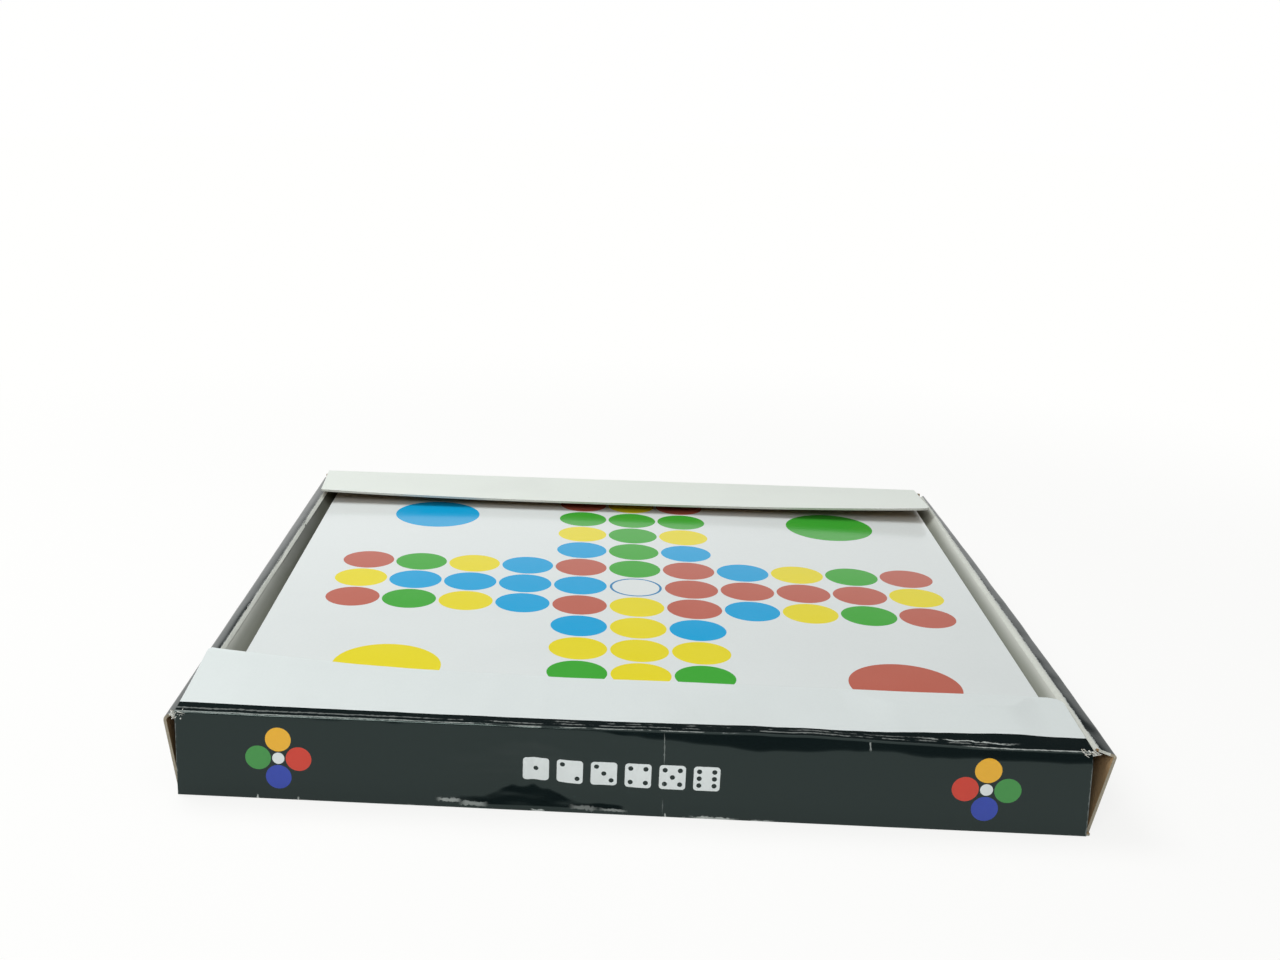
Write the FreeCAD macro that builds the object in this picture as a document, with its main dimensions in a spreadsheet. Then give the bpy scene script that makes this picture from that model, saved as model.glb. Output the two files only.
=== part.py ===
import FreeCAD, Part
import math
import os
import re
import Sketcher

# A ludo game: a shallow folded carton, the flat game board that lies in it and the loose pieces below that.
# Frame: the origin is the middle of the carton's underside, +X to the right, +Y to the rear, +Z up.

# Driving dimensions, in millimetres
dimensions = {
    # Card of the carton and the rounding of its folds
    "card_thickness": 1.0,
    "fold_radius": 0.6,
    # Game board
    "board_width": 265.0,
    "board_depth": 265.0,
    "board_thickness": 1.8,
    "board_corner_radius": 2.0,
    # Carton: its height, how far the board lies below its top, and the room round the board
    "carton_height": 27.5,
    "board_sink": 3.5,
    "board_side_margin": 4.5,
    "board_end_margin": 4.0,
    "seat_clearance": 0.3,
    # Rims on the side walls, the notch that leaves each corner open beyond their ends, and how far the side
    # walls lean out at their two ends, or in where negative
    "rim_width": 4.0,
    "corner_notch": 4.5,
    "left_front_flare": 3.5,
    "left_rear_flare": -0.5,
    "right_front_flare": 4.5,
    "right_rear_flare": 3.5,
    # Flaps that fold in over the board, each a little narrower than its wall
    "flap_depth": 38.0,
    "flap_inset": 1.2,
    "flap_taper": 1.5,
    "flap_corner_radius": 3.0,
    "crease_gap": 0.2,
    # Tabs that tuck the corners, clear of the side walls and of what passes above them
    "tab_length": 24.0,
    "tab_taper": 4.0,
    "tab_clearance": 0.5,
    "tab_side_gap": 0.8,
    # Pawns
    "pawn_height": 24.0,
    "pawn_foot_diameter": 13.0,
    "pawn_foot_height": 2.2,
    "pawn_neck_diameter": 5.2,
    "pawn_head_diameter": 8.8,
    "pawn_waist_radius": 18.0,
    "pawn_edge_radius": 0.6,
    # Die, a cube whose corners a ball trims
    "die_size": 14.0,
    "die_ball_diameter": 19.2,
    "pip_diameter": 2.6,
    "pip_depth": 0.5,
    "pip_spacing": 3.6,
    # Loose pieces, scattered at the rear of the well below the board
    "piece_gap": 2.6,
    "piece_lift": 0.3,
    "piece_wall_margin": 4.0,
}

# Sizes that follow from the driving dimensions
derived = {
    "board_bottom": "carton_height - board_sink - board_thickness",
    "board_centre": "(right_rear_flare - left_rear_flare) / 2",
    "rear_flare_mean": "(right_rear_flare + left_rear_flare) / 2",
    "half_width": "board_width / 2 + board_side_margin + rim_width - rear_flare_mean",
    "half_depth": "board_depth / 2 + board_end_margin + card_thickness",
    "inner_half_depth": "half_depth - card_thickness",
    "rim_half_length": "inner_half_depth - corner_notch",
    "notch_share": "corner_notch / (2 * inner_half_depth)",
    "flap_half_width": "half_width - flap_inset",
    "tab_outer_face": "half_width - card_thickness - tab_side_gap",
    "tab_inner_face": "tab_outer_face - card_thickness",
    "rim_top": "carton_height - card_thickness",
    "wall_height": "rim_top - card_thickness",
    "side_wall_height": "wall_height - card_thickness",
    "slope": "(rim_top - board_bottom + seat_clearance) / board_side_margin",
    "slope_run": "wall_height / slope",
    "slope_thickness": "card_thickness * sqrt(1 + slope ^ 2)",
    "slope_foot": "slope_thickness / slope",
    "pip_radius": "(pip_diameter ^ 2 / 4 + pip_depth ^ 2) / (2 * pip_depth)",
    "pip_level": "die_size / 2 + pip_radius - pip_depth",
}

colours = ("red", "yellow", "green", "blue")
pawns_of_each_colour = 4
piece_columns = 6
heading_step = 137.5  # degrees from one loose piece to the next, so that no two lie alike

doc = FreeCAD.newDocument("LudoGame")
sheet = doc.addObject("Spreadsheet::Sheet", "Sheet")
formulas = {alias: "=" + text for alias, text in derived.items()}
texts = {alias: str(number) for alias, number in dimensions.items()}
for row, (alias, text) in enumerate({**texts, **formulas}.items(), start=1):
    sheet.set(f"A{row}", alias)
    sheet.set(f"B{row}", text)
    sheet.setAlias(f"B{row}", alias)
doc.recompute()
aliases = set(dimensions) | set(derived)
subparts = []


def bound(text):
    """An expression with the sheet's name put before each of the sheet's aliases."""
    return re.sub(r"[a-z_]+", lambda word: ("Sheet." if word[0] in aliases else "") + word[0], text)


def value(text):
    """The present value of an expression in the sheet's aliases."""
    return float(sheet.evalExpression(bound(text)))


def add_body(label, base=("0", "0", "0"), turn=0):
    """A sub-part's own body, placed by three expressions and a turn about the upright axis in degrees."""
    body = doc.addObject("PartDesign::Body", label)
    body.Label = label
    body.Placement = FreeCAD.Placement(FreeCAD.Vector(), FreeCAD.Rotation(FreeCAD.Vector(0, 0, 1), turn))
    for axis, text in zip("xyz", base):
        body.setExpression(f"Placement.Base.{axis}", bound(text))
    subparts.append(body)
    return body


def add_sketch(body, name, plane_role, offset="0"):
    """A sketch on one of the body's origin planes, or an offset along that plane's normal."""
    plane = next(item for item in body.Origin.OriginFeatures if item.Role == plane_role)
    sketch = body.newObject("Sketcher::SketchObject", name)
    sketch.AttachmentSupport = [(plane, "")]
    sketch.MapMode = "FlatFace"
    sketch.setExpression("AttachmentOffset.Base.z", bound(offset))
    return sketch


def tie_point(sketch, line, end, point, name):
    """Holds one end of a line at two expressions from the sketch's origin."""
    for axis, kind, text, other_axis in zip("xy", ("DistanceX", "DistanceY"), point, (-2, -1)):
        if text == "0":
            sketch.addConstraint(Sketcher.Constraint("PointOnObject", line, end, other_axis))
            continue
        index = sketch.addConstraint(Sketcher.Constraint(kind, -1, 1, line, end, value(text)))
        sketch.renameConstraint(index, name + axis)
        sketch.setExpression(f"Constraints.{name}{axis}", bound(text))


def draw_outline(sketch, points):
    """A closed outline of straight lines through points that are pairs of expressions."""
    places = [FreeCAD.Vector(value(x), value(y), 0) for x, y in points]
    count = len(points)
    for index in range(count):
        sketch.addGeometry(Part.LineSegment(places[index], places[(index + 1) % count]))
    for index in range(count):
        sketch.addConstraint(Sketcher.Constraint("Coincident", index, 2, (index + 1) % count, 1))
        tie_point(sketch, index, 1, points[index], f"corner{index}")


def add_pad(body, sketch, length, reverse=False):
    """Raises a sketch to a plate of an expression's thickness."""
    pad = body.newObject("PartDesign::Pad", body.Label + "_pad")
    pad.Profile = sketch
    pad.Reversed = reverse
    pad.setExpression("Length", bound(length))
    doc.recompute()
    return pad


def add_loft(body, near_points, far_points, reach):
    """Joins an outline at the near end of the carton's side to one at its far end."""
    near = add_sketch(body, body.Label + "_near", "XZ_Plane", reach)
    draw_outline(near, near_points)
    far = add_sketch(body, body.Label + "_far", "XZ_Plane", f"-({reach})")
    draw_outline(far, far_points)
    loft = body.newObject("PartDesign::AdditiveLoft", body.Label + "_loft")
    loft.Profile = near
    loft.Sections = [far]
    loft.Ruled = True
    doc.recompute()
    return loft


def round_edges(body, feature, name, radius, picked):
    """Rounds those edges of a feature that a test on the edge's middle and direction picks."""
    names = []
    for number, edge in enumerate(feature.Shape.Edges, start=1):
        if edge.Degenerated:
            continue
        middle = edge.valueAt((edge.FirstParameter + edge.LastParameter) / 2)
        if picked(middle, edge):
            names.append(f"Edge{number}")
    fillet = body.newObject("PartDesign::Fillet", f"{body.Label}_{name}")
    fillet.Base = (feature, names)
    fillet.setExpression("Radius", bound(radius))
    doc.recompute()
    return fillet


def near_to(number, target):
    """Whether a measured length is a wanted one."""
    tolerance = 1e-6 * value("carton_height")
    return abs(number - target) < tolerance


# Base panel, with its lower edges rounded where the card folds up into the walls
base_panel = add_body("base_panel")
base_sketch = add_sketch(base_panel, "base_outline", "XY_Plane")
draw_outline(base_sketch, [
    ("-half_width", "-half_depth"),
    ("half_width", "-half_depth"),
    ("half_width", "half_depth"),
    ("-half_width", "half_depth"),
])
base_pad = add_pad(base_panel, base_sketch, "card_thickness")
round_edges(base_panel, base_pad, "folds", "fold_radius", lambda middle, edge: near_to(middle.z, 0))


def make_end_wall(label, side_depth, turn):
    """An upright wall at the front or the rear, as wide as the base."""
    wall = add_body(label, ("0", side_depth, "card_thickness"), turn)
    sketch = add_sketch(wall, label + "_outline", "XZ_Plane")
    draw_outline(sketch, [
        ("-half_width", "0"),
        ("half_width", "0"),
        ("half_width", "wall_height"),
        ("-half_width", "wall_height"),
    ])
    add_pad(wall, sketch, "card_thickness", reverse=True)


make_end_wall("front_wall", "-half_depth", 0)
make_end_wall("rear_wall", "half_depth", 180)


def make_side(side, outward, near_flare, far_flare, turn):
    """A side wall that leans out, the rim folded over on it and the flap that slopes from there to the base.

    They are drawn for the right, with x out from the wall's foot, and turned half round for the left.
    The wall ends at the inner faces of the front and rear walls, and the other two at the corner notches.
    """
    base = (f"{outward} * half_width", "0", "card_thickness")

    def wall_section(flare):
        return [("-card_thickness", "0"), ("0", "0"), (flare, "side_wall_height"),
                (f"{flare} - card_thickness", "side_wall_height")]

    def rim_section(flare):
        return [(f"{flare} - rim_width", "side_wall_height"), (flare, "side_wall_height"),
                (flare, "wall_height - fold_radius"), (f"{flare} - fold_radius", "wall_height"),
                (f"{flare} - rim_width", "wall_height")]

    def flap_section(flare):
        inner = f"{flare} - rim_width"
        return [(inner, "wall_height"), (inner, "wall_height - slope_thickness"),
                (f"{inner} - slope_run + slope_foot", "0"), (f"{inner} - slope_run", "0")]

    wall = add_body(f"{side}_wall", base, turn)
    add_loft(wall, wall_section(near_flare), wall_section(far_flare), "inner_half_depth")
    near_end = f"({near_flare} + ({far_flare} - {near_flare}) * notch_share)"
    far_end = f"({far_flare} + ({near_flare} - {far_flare}) * notch_share)"
    for name, section in (("rim", rim_section), ("side_flap", flap_section)):
        body = add_body(f"{side}_{name}", base, turn)
        add_loft(body, section(near_end), section(far_end), "rim_half_length")


make_side("right", "1", "right_front_flare", "right_rear_flare", 0)
make_side("left", "-1", "left_rear_flare", "left_front_flare", 180)


def make_tab(label, flare, outer_face, end, turn):
    """A corner tab that runs back from an end wall, low enough to pass below the side flap and the rim."""
    reach_below_flap = f"(half_width + {flare} - rim_width - tab_inner_face)"
    under_flap = f"wall_height - slope_thickness - slope * {reach_below_flap}"
    height = f"(min({under_flap}; side_wall_height) - tab_clearance)"
    tab = add_body(label, (outer_face, end, "card_thickness"), turn)
    sketch = add_sketch(tab, label + "_outline", "YZ_Plane")
    draw_outline(sketch, [
        ("0", "0"),
        ("tab_length", "0"),
        ("tab_length", f"{height} - tab_taper"),
        ("0", height),
    ])
    add_pad(tab, sketch, "card_thickness")


make_tab("front_right_tab", "right_front_flare", "tab_inner_face", "-inner_half_depth", 0)
make_tab("front_left_tab", "left_front_flare", "-tab_outer_face", "-inner_half_depth", 0)
make_tab("rear_right_tab", "right_rear_flare", "tab_outer_face", "inner_half_depth", 180)
make_tab("rear_left_tab", "left_rear_flare", "-tab_inner_face", "inner_half_depth", 180)


def make_flap(label, side_depth, turn):
    """A flap that lies over the board's edge, narrower and round-cornered at its free edge."""
    flap = add_body(label, ("0", side_depth, "rim_top"), turn)
    sketch = add_sketch(flap, label + "_outline", "XY_Plane")
    draw_outline(sketch, [
        ("-flap_half_width", "crease_gap"),
        ("flap_half_width", "crease_gap"),
        ("flap_half_width - flap_taper", "flap_depth"),
        ("flap_taper - flap_half_width", "flap_depth"),
    ])
    pad = add_pad(flap, sketch, "card_thickness")
    depth = value("flap_depth")
    crease = value("crease_gap")
    thickness = value("card_thickness")
    corners = round_edges(flap, pad, "corners", "flap_corner_radius",
                          lambda middle, edge: near_to(middle.y, depth) and near_to(edge.Length, thickness))
    round_edges(flap, corners, "fold", "fold_radius",
                lambda middle, edge: near_to(middle.y, crease) and near_to(middle.z, thickness))


make_flap("front_flap", "-half_depth", 0)
make_flap("rear_flap", "half_depth", 180)

# Game board, one flat sheet that lies between the rims on the two side flaps
game_board = add_body("game_board", ("board_centre", "0", "board_bottom"))
board_sketch = add_sketch(game_board, "board_outline", "XY_Plane")
draw_outline(board_sketch, [
    ("-board_width / 2", "-board_depth / 2"),
    ("board_width / 2", "-board_depth / 2"),
    ("board_width / 2", "board_depth / 2"),
    ("-board_width / 2", "board_depth / 2"),
])
board_pad = add_pad(game_board, board_sketch, "board_thickness")
board_thickness = value("board_thickness")
round_edges(game_board, board_pad, "corners", "board_corner_radius",
            lambda middle, edge: near_to(edge.Length, board_thickness))


def piece_cell(index):
    """The middle of a loose piece's own cell in the well, and the way the piece points, in degrees."""
    reach = math.hypot(value("pawn_height"), value("pawn_foot_diameter"))
    pitch = reach + value("piece_gap")
    column = index % piece_columns
    row = index // piece_columns
    x = (column - (piece_columns - 1) / 2) * pitch
    y = value("inner_half_depth - piece_wall_margin") - (row + 1 / 2) * pitch
    return x, y, index * heading_step


def draw_pawn(sketch):
    """Half a pawn's outline: a flat foot, a hollow waist and a ball for a head."""
    foot = value("pawn_foot_diameter / 2")
    foot_height = value("pawn_foot_height")
    neck = value("pawn_neck_diameter / 2")
    head = value("pawn_head_diameter / 2")
    waist = value("pawn_waist_radius")
    height = value("pawn_height")
    head_level = height - head
    neck_level = head_level - math.sqrt(head ** 2 - neck ** 2)
    chord = math.hypot(foot - neck, neck_level - foot_height)
    waist_reach = math.sqrt(waist ** 2 - chord ** 2 / 4)
    waist_x = (foot + neck) / 2 + waist_reach * (neck_level - foot_height) / chord
    waist_y = (foot_height + neck_level) / 2 + waist_reach * (foot - neck) / chord
    up = FreeCAD.Vector(0, 0, 1)
    waist_circle = Part.Circle(FreeCAD.Vector(waist_x, waist_y, 0), up, waist)
    waist_start = math.atan2(neck_level - waist_y, neck - waist_x) % math.tau
    waist_end = math.atan2(foot_height - waist_y, foot - waist_x) % math.tau
    head_circle = Part.Circle(FreeCAD.Vector(0, head_level, 0), up, head)
    head_start = math.atan2(neck_level - head_level, neck)
    sketch.addGeometry(Part.LineSegment(FreeCAD.Vector(), FreeCAD.Vector(foot, 0, 0)))
    sketch.addGeometry(Part.LineSegment(FreeCAD.Vector(foot, 0, 0), FreeCAD.Vector(foot, foot_height, 0)))
    sketch.addGeometry(Part.ArcOfCircle(waist_circle, waist_start, waist_end))
    sketch.addGeometry(Part.ArcOfCircle(head_circle, head_start, math.pi / 2))
    sketch.addGeometry(Part.LineSegment(FreeCAD.Vector(0, height, 0), FreeCAD.Vector()))
    bottom, side, hollow, ball, axis = range(5)
    start, end, centre = 1, 2, 3
    for joined in (
            (bottom, end, side, start),
            (side, end, hollow, end),
            (hollow, start, ball, start),
            (ball, end, axis, start),
            (axis, end, bottom, start)):
        sketch.addConstraint(Sketcher.Constraint("Coincident", *joined))
    sketch.addConstraint(Sketcher.Constraint("PointOnObject", ball, centre, -2))
    tie_point(sketch, bottom, start, ("0", "0"), "middle")
    tie_point(sketch, bottom, end, ("pawn_foot_diameter / 2", "0"), "foot")
    tie_point(sketch, side, end, ("pawn_foot_diameter / 2", "pawn_foot_height"), "rim")
    tie_point(sketch, axis, start, ("0", "pawn_height"), "top")
    for name, kind, points, text in (
            ("neck", "DistanceX", (-1, start, ball, start), "pawn_neck_diameter / 2"),
            ("waist", "Radius", (hollow,), "pawn_waist_radius"),
            ("head", "Radius", (ball,), "pawn_head_diameter / 2")):
        index = sketch.addConstraint(Sketcher.Constraint(kind, *points, value(text)))
        sketch.renameConstraint(index, name)
        sketch.setExpression(f"Constraints.{name}", bound(text))


def lay_pawn(index):
    """The placement of a pawn that lies on its side, on the edge of its foot and on its head."""
    foot = value("pawn_foot_diameter / 2")
    head = value("pawn_head_diameter / 2")
    span = value("pawn_height - pawn_head_diameter / 2 - pawn_foot_height")
    dip = math.atan2(foot, span) - math.asin(head / math.hypot(foot, span))
    x, y, heading = piece_cell(index)
    turn = math.radians(heading)
    along = FreeCAD.Vector(math.cos(dip) * math.cos(turn), math.cos(dip) * math.sin(turn), -math.sin(dip))
    floor = value("card_thickness + piece_lift")
    lowest = value("pawn_foot_height") * math.sin(dip) + foot * math.cos(dip)
    half = value("pawn_height / 2")
    base = FreeCAD.Vector(x - half * along.x, y - half * along.y, floor + lowest)
    return FreeCAD.Placement(base, FreeCAD.Rotation(FreeCAD.Vector(0, 0, 1), along))


def make_pawn(label, index):
    """One turned pawn, lying loose in the well."""
    pawn = doc.addObject("PartDesign::Body", label)
    pawn.Label = label
    subparts.append(pawn)
    sketch = add_sketch(pawn, label + "_outline", "XZ_Plane")
    draw_pawn(sketch)
    turned = pawn.newObject("PartDesign::Revolution", label + "_turned")
    turned.Profile = sketch
    turned.ReferenceAxis = (sketch, ["V_Axis"])
    doc.recompute()
    foot_edge = math.pi * value("pawn_foot_diameter")
    round_edges(pawn, turned, "edges", "pawn_edge_radius",
                lambda middle, edge: near_to(edge.Length, foot_edge))
    pawn.Placement = lay_pawn(index)


piece = 0
for number in range(1, pawns_of_each_colour + 1):
    for colour in colours:
        make_pawn(f"{colour}_pawn_{number}", piece)
        piece += 1


def make_die(label, index):
    """A cube trimmed by a ball, with its pips sunk so that opposite faces add up to seven."""
    cube = doc.addObject("Part::Box", label + "_cube")
    for size in ("Length", "Width", "Height"):
        cube.setExpression(size, bound("die_size"))
    for axis in "xyz":
        cube.setExpression(f"Placement.Base.{axis}", bound("-die_size / 2"))
    ball = doc.addObject("Part::Sphere", label + "_ball")
    ball.setExpression("Radius", bound("die_ball_diameter / 2"))
    trimmed = doc.addObject("Part::Common", label + "_trimmed")
    trimmed.Base = cube
    trimmed.Tool = ball
    diagonal = ((-1, -1), (1, 1))
    corners = ((-1, -1), (-1, 1), (1, -1), (1, 1))
    columns = ((-1, -1), (-1, 0), (-1, 1), (1, -1), (1, 0), (1, 1))
    middle = ((0, 0),)
    faces = {
        "z": (middle, columns),
        "y": (diagonal, corners + middle),
        "x": (diagonal + middle, corners),
    }
    pips = []
    for normal, (near_face, far_face) in faces.items():
        across = [axis for axis in "xyz" if axis != normal]
        for sign, spots in ((1, near_face), (-1, far_face)):
            for spot in spots:
                pip = doc.addObject("Part::Sphere", label + "_pip")
                pip.setExpression("Radius", bound("pip_radius"))
                pip.setExpression(f"Placement.Base.{normal}", bound(f"{sign} * pip_level"))
                for axis, step in zip(across, spot):
                    pip.setExpression(f"Placement.Base.{axis}", bound(f"{step} * pip_spacing"))
                pips.append(pip)
    sunk = doc.addObject("Part::MultiFuse", label + "_pips")
    sunk.Shapes = pips
    die = doc.addObject("Part::Cut", label)
    die.Label = label
    die.Base = trimmed
    die.Tool = sunk
    x, y, heading = piece_cell(index)
    level = value("card_thickness + piece_lift + die_size / 2")
    upright = FreeCAD.Rotation(FreeCAD.Vector(0, 0, 1), heading)
    die.Placement = FreeCAD.Placement(FreeCAD.Vector(x, y, level), upright)
    subparts.append(die)


make_die("die", piece)
doc.recompute()

# Every object has to be sound before anything is written
for item in doc.Objects:
    if {"Invalid", "Error"} & set(item.State):
        raise RuntimeError(f"{item.Label} failed: {item.State}")
for item in subparts:
    if item.Shape.isNull() or not item.Shape.isValid() or len(item.Shape.Solids) != 1:
        raise RuntimeError(f"{item.Label} is not one sound solid")

os.makedirs("parts", exist_ok=True)
for item in subparts:
    item.Shape.exportStep(f"parts/{item.Label}.step")
    print(f"{item.Label}: {item.Shape.Volume:.1f} cubic millimetres")
print(f"{len(subparts)} sub-parts")
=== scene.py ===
# %% [markdown]
# # A ludo game in its folded carton
#
# The real object is a shallow tray folded from one sheet of coated card: black and glossy outside, raw
# brown inside. White flaps lie over the front and rear edges of a flat printed game board. The packed
# model gives every piece at its true size, so this lesson starts from it and only adds what makes the
# card look like card: soft folds, print, gloss and wear. All sizes here are in metres.

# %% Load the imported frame
import math
import random

import bmesh
import bpy
from mathutils import Matrix, Vector, noise


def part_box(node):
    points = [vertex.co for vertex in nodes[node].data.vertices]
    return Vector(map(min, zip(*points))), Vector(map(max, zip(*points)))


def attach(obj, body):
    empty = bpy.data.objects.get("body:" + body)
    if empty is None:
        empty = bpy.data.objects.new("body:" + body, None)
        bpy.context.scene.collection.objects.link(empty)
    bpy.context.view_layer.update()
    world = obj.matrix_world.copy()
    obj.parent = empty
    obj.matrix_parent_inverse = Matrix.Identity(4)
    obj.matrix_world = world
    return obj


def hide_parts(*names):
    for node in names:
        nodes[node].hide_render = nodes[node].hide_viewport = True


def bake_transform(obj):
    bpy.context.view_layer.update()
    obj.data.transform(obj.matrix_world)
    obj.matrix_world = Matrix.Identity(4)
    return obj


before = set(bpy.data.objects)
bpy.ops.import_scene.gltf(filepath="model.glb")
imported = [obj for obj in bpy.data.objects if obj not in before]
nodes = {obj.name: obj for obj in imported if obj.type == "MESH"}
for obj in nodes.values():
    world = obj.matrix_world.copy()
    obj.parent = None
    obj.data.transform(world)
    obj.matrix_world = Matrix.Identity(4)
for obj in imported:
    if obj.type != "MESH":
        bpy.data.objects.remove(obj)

scene = bpy.context.scene
scene.view_settings.view_transform = "Standard"
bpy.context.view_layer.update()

# %% [markdown]
# ## The camera
#
# The photo was taken from just above the front wall, with the carton left of the picture's middle. A shift
# of the lens puts it there without turning the camera, so upright lines stay upright.

# %% Place the camera
camera_place = (-0.0151, -0.5693, 0.2305)
camera_turn = (73.90, -0.90, 3.85)
camera_lens = 43.7
camera_sensor = 36
camera_shift = 0.114


def add_object(name, data):
    """An object in the scene that shows the given data."""
    added = bpy.data.objects.new(name, data)
    scene.collection.objects.link(added)
    return added


lens = bpy.data.cameras.new("photo_camera")
lens.lens = camera_lens
lens.sensor_width = camera_sensor
lens.shift_x = camera_shift
camera = add_object("photo_camera", lens)
camera.location = camera_place
camera.rotation_euler = [math.radians(angle) for angle in camera_turn]
scene.camera = camera
print("camera at", camera_place)

# %% [markdown]
# ## Helpers for shader formulas
#
# A print is easiest to write down as a formula: a dot is where the distance to a point is under a radius.
# Math nodes do the sums, but a long formula becomes a long list of links. So a small class stands for a
# number that changes over the surface, and its plus, minus and times each place one Math node. A socket
# knows its own node tree as id_data, so the helpers find the tree from what they are given.

# %% Fields, which turn sums into Math nodes
def feed(socket, value):
    """Links a socket to another, or sets a plain value on it."""
    if isinstance(value, Field):
        value = value.socket
    if isinstance(value, bpy.types.NodeSocket):
        socket.id_data.links.new(value, socket)
    else:
        socket.default_value = value


class Field:
    """A number that changes over a surface."""

    def __init__(self, socket):
        self.socket = socket
        self.tree = socket.id_data

    def sum_of(self, operation, *others):
        node = self.tree.nodes.new("ShaderNodeMath")
        node.operation = operation
        for socket, value in zip(node.inputs, (self, *others)):
            feed(socket, value)
        return Field(node.outputs[0])

    def __add__(self, other):
        return self.sum_of("ADD", other)

    def __sub__(self, other):
        return self.sum_of("SUBTRACT", other)

    def __mul__(self, other):
        return self.sum_of("MULTIPLY", other)

    def __truediv__(self, other):
        return self.sum_of("DIVIDE", other)

    def size(self):
        return self.sum_of("ABSOLUTE")

    def least(self, other):
        return self.sum_of("MINIMUM", other)

    def most(self, other):
        return self.sum_of("MAXIMUM", other)

    def above(self, level):
        return self.sum_of("GREATER_THAN", level)

    def below(self, level):
        return self.sum_of("LESS_THAN", level)

    def near(self, number):
        return self.sum_of("COMPARE", number, 0.25)

    def whole(self):
        return self.sum_of("ROUND")

    def up_to(self, level):
        return (self * -1) + level

    def opposite(self):
        return self.up_to(1)

    def between(self, painted_low_shade, high):
        """0 at low and 1 at high, with a smooth ramp from one to the other."""
        node = self.tree.nodes.new("ShaderNodeMapRange")
        node.interpolation_type = "SMOOTHSTEP"
        for name, value in (("Value", self), ("From Min", painted_low_shade), ("From Max", high)):
            feed(node.inputs[name], value)
        return Field(node.outputs["Result"])


def distance(across, along):
    """How far a point is from zero, given two fields."""
    return (across * across + along * along).sum_of("SQRT")


def band(field, rise, fall):
    """1 between two ramps, each given by where it is 0 and where it is 1."""
    return field.between(*rise) * field.between(*fall)


# %% Small helpers for colours, noise and bump
def split(vector):
    """The three parts of a vector, as fields."""
    node = vector.id_data.nodes.new("ShaderNodeSeparateXYZ")
    feed(node.inputs[0], vector)
    return [Field(socket) for socket in node.outputs]


def mix(share, under, over):
    """One colour laid over another where share is 1."""
    node = share.tree.nodes.new("ShaderNodeMix")
    node.data_type = "RGBA"
    for name, value in (("Factor_Float", share), ("A_Color", under), ("B_Color", over)):
        if isinstance(value, tuple):
            value = (*value[:3], 1)
        feed(next(s for s in node.inputs if s.identifier == name), value)
    return next(s for s in node.outputs if s.identifier == "Result_Color")


def tint(colour, tone):
    """A colour made lighter or darker by a field."""
    node = tone.tree.nodes.new("ShaderNodeVectorMath")
    node.operation = "SCALE"
    feed(node.inputs[0], colour)
    feed(node.inputs["Scale"], tone)
    return node.outputs[0]


def cloud(vector, scale, detail=2.0, stretch=None):
    """Soft noise from 0 to 1, with its grain scale given per metre."""
    tree = vector.id_data
    if stretch:
        mapping = tree.nodes.new("ShaderNodeMapping")
        mapping.inputs["Scale"].default_value = stretch
        feed(mapping.inputs["Vector"], vector)
        vector = mapping.outputs[0]
    node = tree.nodes.new("ShaderNodeTexNoise")
    node.inputs["Detail"].default_value = detail
    feed(node.inputs["Vector"], vector)
    feed(node.inputs["Scale"], scale)
    return Field(node.outputs["Fac"])


def steps(field, colours):
    """Picks a colour by number: the first at 0, the next at 1 and so on."""
    node = field.tree.nodes.new("ShaderNodeValToRGB")
    node.color_ramp.interpolation = "CONSTANT"
    stops = node.color_ramp.elements
    while len(stops) < len(colours):
        stops.new(1.0)
    for number, colour in enumerate(colours):
        stops[number].position = number / len(colours)
        stops[number].color = (*colour, 1)
    feed(node.inputs[0], (field + 0.5) / len(colours))
    return node.outputs["Color"]


def bump(shader, height, depth):
    """Raises the surface by a height field, with depth in metres."""
    node = shader.id_data.nodes.new("ShaderNodeBump")
    node.inputs["Distance"].default_value = depth
    feed(node.inputs["Height"], height)
    feed(shader.inputs["Normal"], node.outputs[0])


def screen(red, green, blue):
    """A colour read on a screen, from 0 to 255, as the linear colour that shaders use."""
    shares = [number / 255 for number in (red, green, blue)]
    return tuple(s / 12.92 if s < 0.04045 else ((s + 0.055) / 1.055) ** 2.4 for s in shares)


def new_material(name, roughness=0.5, gloss=0.5):
    """A material with its shader, and the point on the piece that its patterns follow."""
    material = bpy.data.materials.new(name)
    material.use_nodes = True
    tree = material.node_tree
    shader = tree.nodes["Principled BSDF"]
    shader.inputs["Roughness"].default_value = roughness
    shader.inputs["Specular IOR Level"].default_value = gloss
    place = tree.nodes.new("ShaderNodeTexCoord")
    return material, shader, place.outputs["Object"], place.outputs["Normal"]


def direct_rays(tree):
    """Two fields: 1 on rays from the camera, and 1 on rays that were mirrored or went through glass."""
    ray = tree.nodes.new("ShaderNodeLightPath")
    seen = Field(ray.outputs["Is Camera Ray"])
    mirrored = Field(ray.outputs["Is Glossy Ray"]).most(Field(ray.outputs["Is Transmission Ray"]))
    return seen, mirrored


print("helpers ready")

# %% [markdown]
# ## Studio
#
# The floor is a plain pale disc. To the eye most of its white is its own, and all of it further out, so
# the shadow on it stays faint and no horizon shows. The light is soft: a bright dome, a lamp above on the
# left, and another in front. A glossy black surface shows little but reflections, so the dome has darker
# parts: the room behind the photographer, a broad strip behind the carton, and the right side.

# %% Floor
floor_radius = 3.0
floor_drop = 0.0002
floor_own_white = 0.84
floor_near, floor_far = 0.22, 0.6
floor_sides = 96
floor_tones = (0.91, 0.915, 0.91), (0.94, 0.94, 0.935)


def mesh_of(shape, name):
    """The mesh that a finished bmesh becomes."""
    mesh = bpy.data.meshes.new(name)
    shape.to_mesh(mesh)
    shape.free()
    return mesh


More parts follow.
